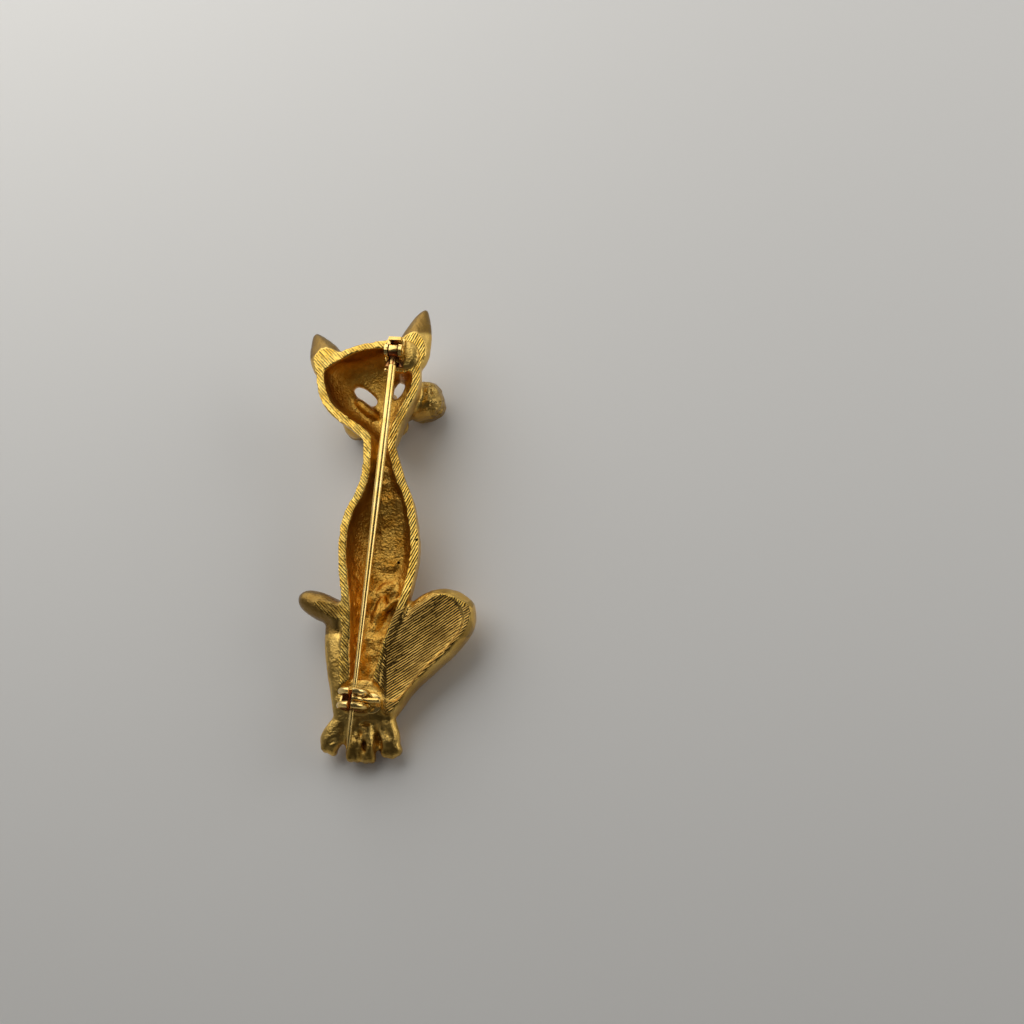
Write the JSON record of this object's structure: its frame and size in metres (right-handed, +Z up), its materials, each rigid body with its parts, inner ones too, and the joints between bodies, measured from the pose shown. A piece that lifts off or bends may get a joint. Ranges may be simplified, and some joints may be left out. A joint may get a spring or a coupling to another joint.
{
  "type": "figural animal brooch",
  "caption": "Hollow-backed cast metal brooch of a seated long-necked cat, with a hinged pin stem and a roll-over safety catch.",
  "frame": {"origin": "on the ground, under the middle of the brooch's bounding box as it lies face down", "axes": "+Z up, out of the brooch's back; +Y towards the ears, with the paws at -Y; +X to the right as seen from the back"},
  "size_m": [0.0226, 0.0574, 0.0127],
  "materials": {
    "cast_gold": "satin gold-tone plating, brightened by filing along the back rim",
    "bright_gold": "polished pale gold-tone plating"
  },
  "bodies": {
    "brooch": {"cat_casting": "cast_gold", "hinge_rivet": "bright_gold"},
    "stem": {"pin_stem": "bright_gold"},
    "lever": {"catch_lever": "bright_gold"}
  },
  "joints": [
    {"name": "pin_hinge", "type": "hinge", "parent": "brooch", "child": "stem", "pos_m": [0.00199, 0.02135, 0.01177], "axis": [-0.9927, 0.1141, 0.0388], "range_deg": [0, 100]},
    {"name": "catch_turn", "type": "hinge", "parent": "brooch", "child": "lever", "pos_m": [-0.00323, -0.02234, 0.00666], "axis": [-0.1179, -0.9863, -0.1154], "range_deg": [0, 130]}
  ]
}
